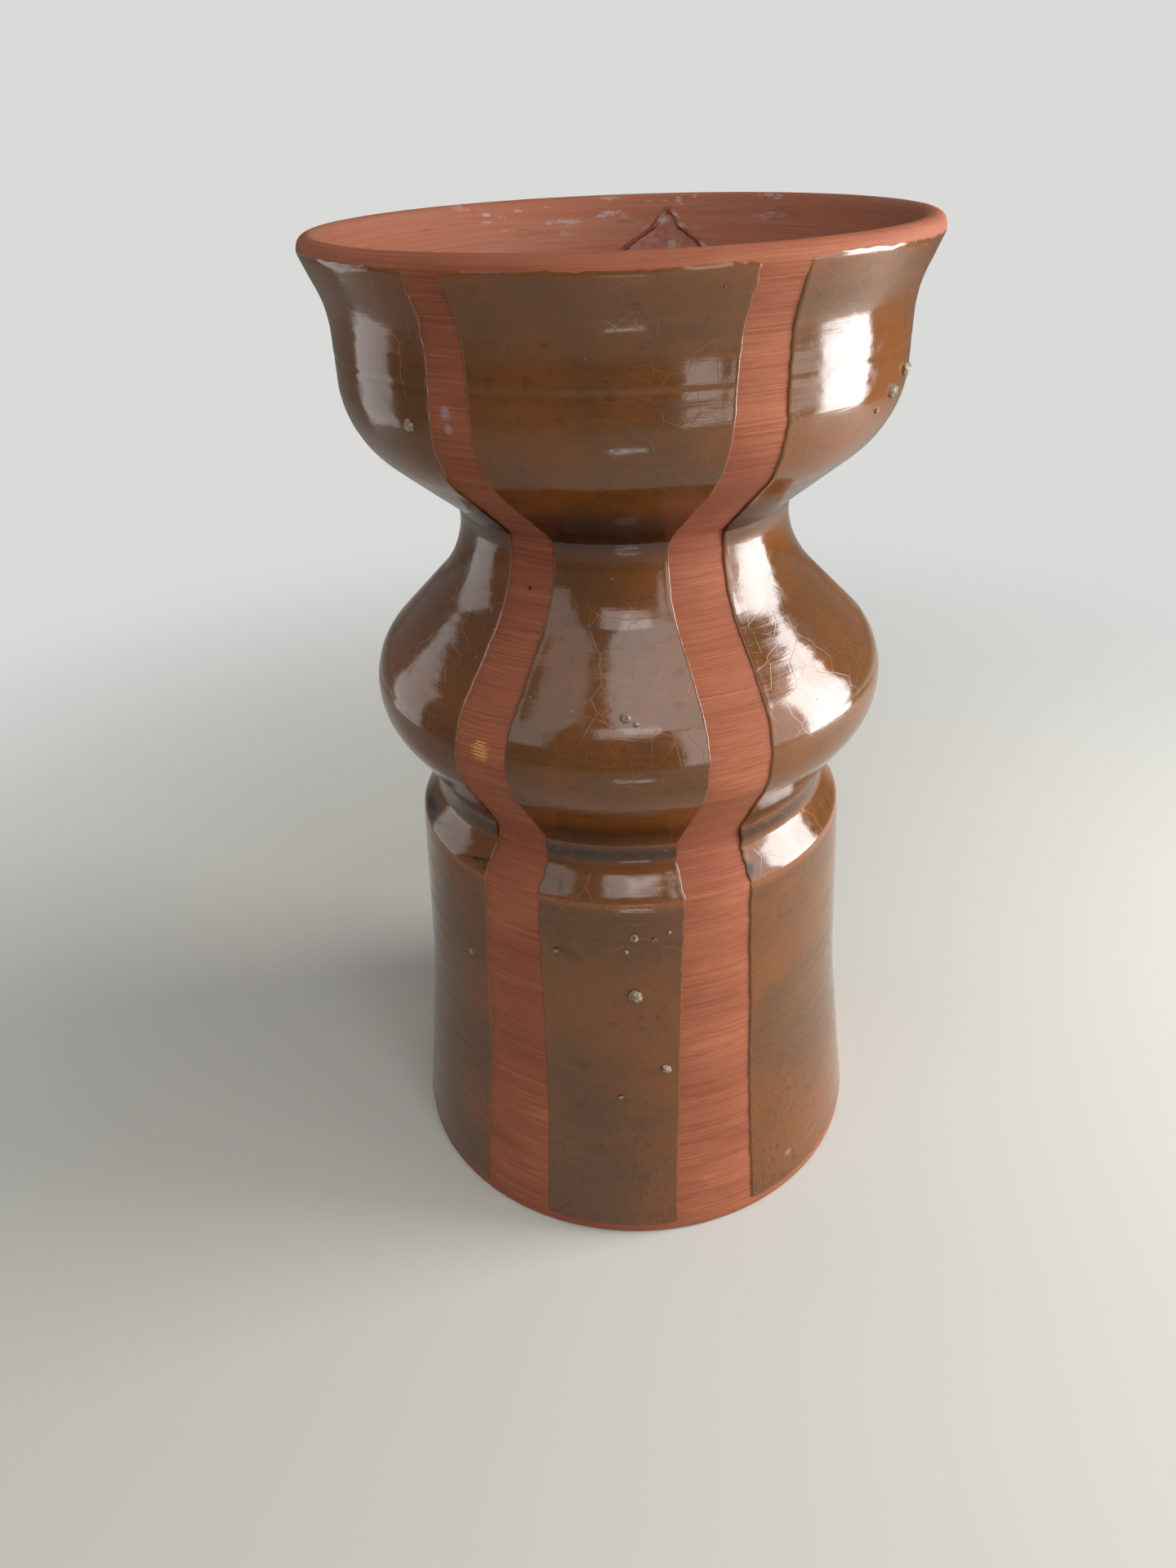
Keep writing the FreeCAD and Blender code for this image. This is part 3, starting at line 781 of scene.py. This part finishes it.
def stripe_edge(index, side, along, route):
    """Azimuth of one edge of a bare stripe along the glaze path. side is -1 left and 1 right."""
    index = index % len(PANELS)
    sizes, glaze = route.sizes, route.glaze
    middle = glaze.first_stripe
    if index > 0:
        middle += glaze.front_panel
    if index > 1:
        back_panel = (2 * math.pi - glaze.front_panel - 2 * glaze.side_panel) / 3
        middle += glaze.side_panel + (index - 2) * back_panel
    radius, height, out, up = route.sample(along)
    rise = height / sizes.full_height
    middle = middle + math.radians(STRIPE_LEAN[index]) * (0.5 - rise)
    width = glaze.stripe_foot_width + (glaze.stripe_lip_width - glaze.stripe_foot_width) * rise
    width = width + STRIPE_EXTRA_WIDTH[index]
    seed = STRIPE_SEED + 2 * index + (side > 0)
    chipped = 0.35 + 1.6 * np.clip(wander(along * 0.6, seed + CHIP_SEED, 1.0, 0.0) - 0.25, 0, 1)
    ragged = wander(along, seed, glaze.waviness, 0.0) + chipped * wander(along, seed, 0.0, 0.30 * MM)
    return middle + (side * width / 2 + ragged) / radius


def panel_edges(index, along, route):
    """Azimuths of a panel's left and right edges along the glaze path."""
    left = stripe_edge(index, 1, along, route)
    right = stripe_edge(index + 1, -1, along, route)
    if index == len(PANELS) - 1:
        right = right + 2 * math.pi
    return left, right


def spread_columns(count):
    """Places across a panel from 0 to 1, closer together at both edges."""
    crowding = 1.45
    even = np.linspace(-1.0, 1.0, count + 1)
    return 0.5 + 0.5 * np.sign(even) * (1 - (1 - np.abs(even)) ** crowding)


def panel_mesh(index, route):
    """A closed skin of glaze between two bare stripes, thick where the glaze pools, with a mask that also
    carries painted shade under the bowl and the bulb.
    """
    glaze = route.glaze
    across = spread_columns(glaze.columns)
    up_share = np.linspace(0.0, 1.0, glaze.rows + 1)
    corner = (np.exp(-across * 60) + np.exp(-(1 - across) * 60)) * 0.5 * MM
    low_edge = route.start + wander(across * PANEL_WIDTH, LOW_EDGE_SEED + index, 0.35 * MM, 0.10 * MM)
    low_edge = low_edge + corner
    high_edge = route.finish + wander(across * PANEL_WIDTH, HIGH_EDGE_SEED + index, 0.45 * MM, 0.22 * MM)
    high_edge = high_edge - corner
    along = low_edge + (high_edge - low_edge) * up_share[:, None]
    left, right = panel_edges(index, along, route)
    azimuth = left + (right - left) * across
    radius, height, out, up = route.sample(along)
    inset = np.minimum.reduce([(azimuth - left) * radius, (right - azimuth) * radius,
                               along - low_edge, high_edge - along])

    uneven = wander(along + azimuth * 11.0 * MM, CLOUD_SEED + index, 0.10, 0.0)
    uneven = uneven + wander(azimuth * radius + along * 0.3, STREAK_SEED + index, 0.10, 0.0)
    waist_pool = hump(along, route.waist, 2.6 * MM)
    crease_pool = hump(along, route.crease, 2.0 * MM)
    pooling = waist_pool * 1.3 + crease_pool * 1.1 + hump(along, route.start + 1.5 * MM, 2.0 * MM) * 0.15
    breaking = hump(along, route.shoulder - 0.6 * MM, 1.0 * MM)
    lip_break = hump(along, route.finish, 3.5 * MM)
    bead = 0.14 * hump(inset, glaze.edge_round * 1.3, 0.8 * MM)
    full = glaze.thickness * (1 + pooling + uneven + bead - 0.45 * breaking - 0.8 * lip_break)
    near = np.clip(inset / glaze.edge_round, 0, 1)
    rounding = np.sqrt(np.clip(1 - (1 - near) ** 2, 0, 1))
    thickness = -glaze.embed + (full + glaze.embed) * rounding

    front = round_axis(azimuth, radius + out * thickness, height + up * thickness)
    back = round_axis(azimuth, radius - out * glaze.embed, height - up * glaze.embed)
    kept = list(range(0, glaze.columns, glaze.columns // BACK_COLUMNS)) + [glaze.columns]
    mesh = closed_skin("glaze_panel_" + PANELS[index], front, back, kept)

    # Painted shade: the coat darkens under the bowl and under the bulb. The waist's share is glaze that
    # really pools there, and the ledge's share is splashed glaze.
    under_bowl_shade = hump(along, route.crease + 6 * MM, 9 * MM)
    under_bulb_shade = hump(along, route.waist + 8 * MM, 5.5 * MM)
    ledge = hump(along, route.shoulder + 2.6 * MM, 1.7 * MM)
    splashes = np.clip(wander(azimuth * radius, SPLASH_SEED + index, 1.4, 0.8) + 0.15, 0, 1)
    pool_and_shade = np.maximum.reduce([waist_pool * 0.75, under_bowl_shade * 0.95, under_bulb_shade * 0.65])
    shallow = breaking * 0.9 + lip_break * 0.3 + np.exp(-inset / (0.30 * MM)) * 0.4
    store_on_points(mesh, "pooled_and_shaded", np.clip(pool_and_shade + ledge * splashes, 0, 1))
    store_on_points(mesh, "thin", np.clip(shallow, 0, 1))
    mesh.shade_smooth()
    mesh.set_sharp_from_angle(angle=math.radians(75))
    face_outwards(mesh)
    return mesh


def closed_skin(name, front, back, kept):
    """A closed mesh of a fine front grid and a back grid that has only the kept columns.

    Both share the points of the front's rim.
    """
    rows, columns = front.shape[:2]
    vertices = front.reshape(-1, 3).tolist()
    back_index = np.arange(rows * columns).reshape(rows, columns)[:, kept]
    for place in range(1, len(kept) - 1):
        for row in range(1, rows - 1):
            back_index[row, place] = len(vertices)
            vertices.append(back[row, kept[place]].tolist())
    last_row = (rows - 1) * columns
    faces = []
    for row in range(rows - 1):
        for column in range(columns - 1):
            first = row * columns + column
            faces.append((first, first + 1, first + columns + 1, first + columns))
        for place in range(len(kept) - 1):
            lower = back_index[row, place:place + 2].tolist()
            upper = back_index[row + 1, place:place + 2].tolist()[::-1]
            if row == 0:
                lower[1:1] = range(kept[place] + 1, kept[place + 1])
            if row == rows - 2:
                upper[1:1] = range(last_row + kept[place + 1] - 1, last_row + kept[place], -1)
            faces.append((lower + upper)[::-1])
    mesh = bpy.data.meshes.new(name)
    mesh.from_pydata(vertices, [], faces)
    return mesh


def store_on_points(mesh, name, values):
    """Writes one number per point, and 0 for the points that the values don't reach."""
    every = np.zeros(len(mesh.vertices), np.float32)
    every[:np.size(values)] = np.ravel(values)
    mesh.attributes.new(name, "FLOAT", "POINT").data.foreach_set("value", every)


class SHELL_OT_pour_glaze(bpy.types.Operator):
    """Pour the six panels of glaze between the bare stripes"""

    bl_idname = "shell.pour_glaze"
    bl_label = "Pour the Glaze"

    def execute(self, context):
        sizes = context.scene.shell_sizes
        route = GlazePath(Outline(sizes, 0.3), sizes, context.scene.shell_glaze)
        material = glaze_material(sizes, context.scene.shell_colours)
        for index, place in enumerate(PANELS):
            mesh = panel_mesh(index, route)
            mesh.materials.append(material)
            add_piece("glaze_" + place, mesh, "glaze", "glaze_panel_" + place)
        return {"FINISHED"}


class SHELL_OT_run_drip(bpy.types.Operator):
    """Lay the run of glaze on the bowl's inner wall"""

    bl_idname = "shell.run_drip"
    bl_label = "Run the Drip"

    def execute(self, context):
        outline = Outline(context.scene.shell_sizes)
        low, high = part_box("glaze_drip")
        centre = (low + high) / 2
        share = np.linspace(0, 1, DRIP_ROWS + 1)
        side = np.linspace(-1, 1, DRIP_COLUMNS + 1)
        half_width = (high.x - low.x) / 2 * np.interp(share, DRIP_SHARES, DRIP_WIDTHS)
        half_width = half_width * (1 + wander(share * 30 * MM, 5, 0.05, 0.05))
        heights = low.z + (high.z - low.z) * share
        inner = np.array([outline.radius_at(outline.inside, height) for height in heights])[:, None]
        sideways = side * half_width[:, None]
        level = np.repeat(heights[:, None], DRIP_COLUMNS + 1, axis=1)
        inset = np.minimum.reduce([half_width[:, None] - np.abs(sideways), level - low.z,
                                   (high.z - level) + 0.2 * MM])
        near = np.clip(inset / (0.8 * MM), 0, 1)
        bead = hump(inset, 0.9 * MM, 0.7 * MM)
        lumps = 1 + wander(level * 1.3 + sideways * 0.8, 6, 0.25, 0.25)
        thickness = (0.35 * MM + bead * 0.60 * MM * lumps) * np.sqrt(1 - (1 - near) ** 2)
        turn = math.atan2(centre.x, -centre.y) + sideways / inner
        mesh = closed_patch("drip_skin", turn, inner - thickness, inner + DRIP_BITE, level)
        # On the run this mask holds only the bead of pooling glaze, with no painted shade.
        store_on_points(mesh, "pooled_and_shaded", np.clip(bead * near, 0, 1))
        mesh.materials.append(drip_material(context.scene.shell_colours))
        add_piece("glaze_run", mesh, "glaze", "glaze_drip")
        return {"FINISHED"}


def closed_patch(name, turn, face_radius, back_radius, level):
    """A closed patch on an inner wall, from grids of azimuth, radius and level."""
    rows, columns = level.shape
    count = rows * columns
    layers = [round_axis(turn, radius, level).reshape(-1, 3) for radius in (face_radius, back_radius)]
    faces = []
    for row in range(rows - 1):
        for column in range(columns - 1):
            first = row * columns + column
            quad = [first, first + 1, first + columns + 1, first + columns]
            faces.append(quad[::-1])
            faces.append([corner + count for corner in quad])
    numbers = np.arange(count).reshape(rows, columns)
    rim = np.concatenate([numbers[0], numbers[1:, -1], numbers[-1, -2::-1], numbers[-2:0:-1, 0]]).tolist()
    for corner, following in zip(rim, rim[1:] + rim[:1]):
        faces.append((corner, following, following + count, corner + count))
    mesh = bpy.data.meshes.new(name)
    mesh.from_pydata(np.concatenate(layers).tolist(), [], faces)
    mesh.shade_smooth()
    face_outwards(mesh)
    return mesh


# ------------------------------------------------------------------ grains and blisters

def scatter_tree(name, squash, roughness, detail):
    """Geometry Nodes that put an uneven pebble on each point, sized by the point's own radius."""
    recipe, given = new_group(name, Seed="Int", Material="Material")
    pebble = recipe.node("GeometryNodeMeshIcoSphere", {"Radius": 1.0, "Subdivisions": detail})
    outward = recipe.node("GeometryNodeInputNamedAttribute", {0: "outward"}, data_type="FLOAT_VECTOR")
    size = recipe.node("GeometryNodeInputNamedAttribute", {0: "size"}, data_type="FLOAT")
    facing = recipe.node("FunctionNodeAlignRotationToVector", {"Vector": outward}, axis="Z")
    turn = recipe.node("FunctionNodeRandomValue", {2: 0.0, 3: 2 * math.pi, "Seed": given.output("Seed")}, 1,
                       data_type="FLOAT")
    spin = recipe.node("FunctionNodeAxisAngleToRotation", {"Axis": (0.0, 0.0, 1.0), "Angle": turn})
    turned = recipe.node("FunctionNodeRotateRotation", {0: facing, 1: spin}, rotation_space="LOCAL")
    flat = recipe.vector(size, size * 0.86, size * squash)
    placed = recipe.node("GeometryNodeInstanceOnPoints",
                         {"Points": given, "Instance": pebble, "Rotation": turned, "Scale": flat})
    whole = recipe.node("GeometryNodeRealizeInstances", {"Geometry": placed})
    return finish_group(recipe, given, whole, 1100.0, roughness)


def scatter(name, tree, places, outward, radii, seed, material):
    """Runs a scatter tree on loose points that carry a direction and a radius each."""
    mesh = bpy.data.meshes.new(name)
    mesh.from_pydata([tuple(place) for place in places], [], [])
    direction = mesh.attributes.new("outward", "FLOAT_VECTOR", "POINT")
    direction.data.foreach_set("vector", np.asarray(outward, np.float32).ravel())
    store_on_points(mesh, "size", radii)
    thing = new_object(name + "_points", mesh)
    scattered = run_tree(thing, tree, {"Seed": seed, "Material": material})
    bpy.data.objects.remove(thing)
    face_outwards(scattered)
    return scattered


def cad_grains():
    """The centre and radius of each grain in the CAD model's group of grains."""
    work = bmesh.new()
    work.from_mesh(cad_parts["mineral_grains"].data)
    bmesh.ops.remove_doubles(work, verts=work.verts[:], dist=1e-6)
    waiting = set(work.verts)
    found = []
    while waiting:
        stack = [waiting.pop()]
        island = []
        while stack:
            corner = stack.pop()
            island.append(corner.co.copy())
            linked = [edge.other_vert(corner) for edge in corner.link_edges]
            fresh = [other for other in linked if other in waiting]
            waiting.difference_update(fresh)
            stack.extend(fresh)
        spread = np.array(island)
        radius = (spread[:, 2].max() - spread[:, 2].min()) / 2
        centre = (spread.max(0) + spread.min(0)) / 2
        found.append((Vector(centre), float(radius)))
    work.free()
    return sorted(found, key=lambda grain: tuple(grain[0]))


class SHELL_OT_seed_grains(bpy.types.Operator):
    """Set the mineral grains that stand out of the glaze"""

    bl_idname = "shell.seed_grains"
    bl_label = "Set the Grains"

    def execute(self, context):
        sunk_share = 0.55
        big_grain = 0.75 * MM
        grains = cad_grains()
        outward = [Vector((centre.x, centre.y, 0.0)).normalized() for centre, radius in grains]
        places = [centre - out * radius * sunk_share for (centre, radius), out in zip(grains, outward)]
        radii = [radius * (1.25 if radius > big_grain else 0.8) for centre, radius in grains]
        tree = scatter_tree("grain_pebbles", 0.72, 0.9 * MM, 4)
        mesh = scatter("grains", tree, places, outward, radii, context.scene.shell_glaze.seed,
                       grain_material(context.scene.shell_colours))
        add_piece("grains_in_glaze", mesh, "grain", "mineral_grains")
        return {"FINISHED"}


class SHELL_OT_raise_blisters(bpy.types.Operator):
    """Raise small blisters on the glaze"""

    bl_idname = "shell.raise_blisters"
    bl_label = "Raise the Blisters"

    def execute(self, context):
        sizes = context.scene.shell_sizes
        glaze = context.scene.shell_glaze
        route = GlazePath(Outline(sizes), sizes, glaze)
        random = np.random.default_rng(glaze.seed)
        places = []
        outward = []
        radii = []
        lift = glaze.thickness * 0.95
        edge_gap = 3 * MM
        smallest = 0.09
        spread = 0.22
        for number in range(glaze.blisters):
            index = int(random.integers(0, len(PANELS)))
            along = random.uniform(route.start + edge_gap, route.finish - edge_gap)
            left, right = panel_edges(index, along, route)
            turn = left + (right - left) * random.uniform(0.06, 0.94)
            radius, height, out, up = route.sample(along)
            places.append(round_axis(turn, radius + out * lift, height + up * lift))
            outward.append(round_axis(turn, out, up))
            radii.append(MM * (smallest + spread * random.random() ** 3))
        tree = scatter_tree("blister_domes", 0.45, 0.05 * MM, 2)
        mesh = scatter("blisters", tree, places, outward, radii, glaze.seed,
                       bpy.data.materials["brown_glaze"])
        add_piece("glaze_blisters", mesh, "glaze")
        return {"FINISHED"}


# ------------------------------------------------------------------ stage

def stage_material(shade, backdrop):
    """A pale floor that keeps the pot's shadow near it and fades into the backdrop."""
    material, recipe = new_material("pale_stage")
    place = recipe.node("ShaderNodeTexCoord").output("Object")
    far = recipe.distance("LENGTH", place).between(0.13, 0.50)
    seen = recipe.node("ShaderNodeLightPath").output("Is Camera Ray")
    board = recipe.node("ShaderNodeBsdfDiffuse", {"Color": opaque(shade)})
    glow = recipe.node("ShaderNodeEmission", {"Color": opaque(backdrop), "Strength": 1.0})
    surface = recipe.node("ShaderNodeMixShader", {0: far * seen, 1: board, 2: glow})
    recipe.node("ShaderNodeOutputMaterial", {"Surface": surface})
    return material


def make_floor(stage):
    """A round floor on the plane that the pot stands on."""
    mesh = bpy.data.meshes.new("stage_floor")
    work = bmesh.new()
    bmesh.ops.create_circle(work, cap_ends=True, segments=96, radius=stage.floor_radius)
    work.to_mesh(mesh)
    work.free()
    mesh.materials.append(stage_material(stage.floor, stage.pale))
    new_object("stage_floor", mesh)


def make_world(stage):
    """Even room light, with the backdrop's own colour behind the pot."""
    world = bpy.data.worlds.new("pale_room")
    world.use_nodes = True
    world.node_tree.nodes.clear()
    recipe = Recipe(world.node_tree)
    seen = recipe.node("ShaderNodeLightPath").output("Is Camera Ray")
    pale = opaque(stage.pale)
    fill = recipe.node("ShaderNodeBackground", {"Color": pale, "Strength": stage.room_light})
    backdrop = recipe.node("ShaderNodeBackground", {"Color": pale, "Strength": 1.0})
    surface = recipe.node("ShaderNodeMixShader", {0: seen, 1: fill, 2: backdrop})
    recipe.node("ShaderNodeOutputWorld", {"Surface": surface})
    bpy.context.scene.world = world


def add_window(name, azimuth, elevation, distance, width, height, brightness, aim):
    """A soft rectangular light that faces the pot like a window. Brightness is that of its face."""
    lamp = bpy.data.lights.new(name, "AREA")
    lamp.shape = "RECTANGLE"
    lamp.size = width
    lamp.size_y = height
    lamp.energy = brightness * math.pi * width * height
    turn = math.radians(azimuth)
    rise = math.radians(elevation)
    away = Vector((math.sin(turn) * math.cos(rise), -math.cos(turn) * math.cos(rise), math.sin(rise)))
    holder = new_object(name, lamp)
    holder.location = aim + away * distance
    holder.rotation_mode = "QUATERNION"
    holder.rotation_quaternion = (-away).to_track_quat("-Z", "Y")
    holder.visible_camera = False


def make_camera(stage):
    """The camera, aimed by its pitch, yaw and roll."""
    lens = bpy.data.cameras.new("view")
    lens.sensor_width = 36.0
    lens.lens = stage.focal_length
    lens.clip_start = 5 * MM
    holder = new_object("view", lens)
    pitch, yaw, roll = stage.camera_pitch, stage.camera_yaw, stage.camera_roll
    ahead = Vector((math.sin(yaw) * math.cos(pitch), math.cos(yaw) * math.cos(pitch), -math.sin(pitch)))
    level = Vector((math.cos(yaw), -math.sin(yaw), 0.0))
    over = level.cross(ahead)
    right = level * math.cos(roll) + over * math.sin(roll)
    upright = over * math.cos(roll) - level * math.sin(roll)
    turn = Matrix((right, upright, -ahead)).transposed().to_4x4()
    holder.matrix_world = Matrix.Translation((0.0, -stage.camera_distance, stage.camera_height)) @ turn
    bpy.context.scene.camera = holder


class SHELL_OT_set_stage(bpy.types.Operator):
    """Set the pale floor, the soft lights and the camera"""

    bl_idname = "shell.set_stage"
    bl_label = "Set the Stage"

    def execute(self, context):
        stage = context.scene.shell_stage
        middle = Vector((0.0, 0.0, context.scene.shell_sizes.full_height * 0.6))
        make_floor(stage)
        make_world(stage)
        ledge = Vector((0.0, 0.0, context.scene.shell_sizes.waist_height))
        add_window("window_right", 91.0, 10.0, 0.55, 0.27, 0.52, 12.0, middle)
        add_window("window_left", -106.0, 6.0, 0.48, 0.20, 0.36, 1.4, middle)
        add_window("pale_wall_right", 76.0, 12.0, 0.85, 0.60, 0.90, 2.5, middle)
        add_window("pale_wall_front", 30.0, 12.0, 0.80, 0.22, 0.80, 2.8, middle)
        add_window("pale_wall_left", -44.0, 40.0, 0.85, 0.26, 0.80, 1.1, middle)
        add_window("window_front", 0.0, 44.0, 0.75, 0.32, 0.18, 2.5, ledge)
        add_window("card_front", 2.0, -24.0, 0.30, 0.07, 0.012, 4.5, middle)
        add_window("ceiling_bounce", 18.0, 60.0, 0.90, 0.48, 0.62, 2.6, middle)
        make_camera(stage)
        context.scene.view_settings.view_transform = "Standard"
        return {"FINISHED"}


# ------------------------------------------------------------------ panel and main

PROPERTY_GROUPS = {
    "shell_sizes": ShellSizes,
    "shell_glaze": GlazeSizes,
    "shell_colours": FinishColours,
    "shell_stage": StageSizes,
}

OPERATORS = [
    SHELL_OT_set_stage,
    SHELL_OT_turn_clay,
    SHELL_OT_pour_glaze,
    SHELL_OT_run_drip,
    SHELL_OT_seed_grains,
    SHELL_OT_raise_blisters,
]


class SHELL_PT_pot(bpy.types.Panel):
    """The drum shell's sizes, colours and steps"""

    bl_idname = "SHELL_PT_pot"
    bl_label = "Drum Shell"
    bl_space_type = "VIEW_3D"
    bl_region_type = "UI"
    bl_category = "Drum Shell"

    def draw(self, context):
        for name, group in PROPERTY_GROUPS.items():
            box = self.layout.box()
            box.label(text=group.__doc__)
            values = getattr(context.scene, name)
            for key in group.__annotations__:
                box.prop(values, key)
        for operator in OPERATORS:
            self.layout.operator(operator.bl_idname)


def register():
    for group in PROPERTY_GROUPS.values():
        bpy.utils.register_class(group)
    for operator in OPERATORS:
        bpy.utils.register_class(operator)
    bpy.utils.register_class(SHELL_PT_pot)
    for name, group in PROPERTY_GROUPS.items():
        setattr(bpy.types.Scene, name, PointerProperty(type=group))


def unregister():
    for name in PROPERTY_GROUPS:
        delattr(bpy.types.Scene, name)
    bpy.utils.unregister_class(SHELL_PT_pot)
    for operator in reversed(OPERATORS):
        bpy.utils.unregister_class(operator)
    for group in reversed(PROPERTY_GROUPS.values()):
        bpy.utils.unregister_class(group)


def main():
    register()
    bpy.ops.shell.set_stage()
    bpy.ops.shell.turn_clay()
    bpy.ops.shell.pour_glaze()
    bpy.ops.shell.run_drip()
    bpy.ops.shell.seed_grains()
    bpy.ops.shell.raise_blisters()


if __name__ == "__main__":
    main()
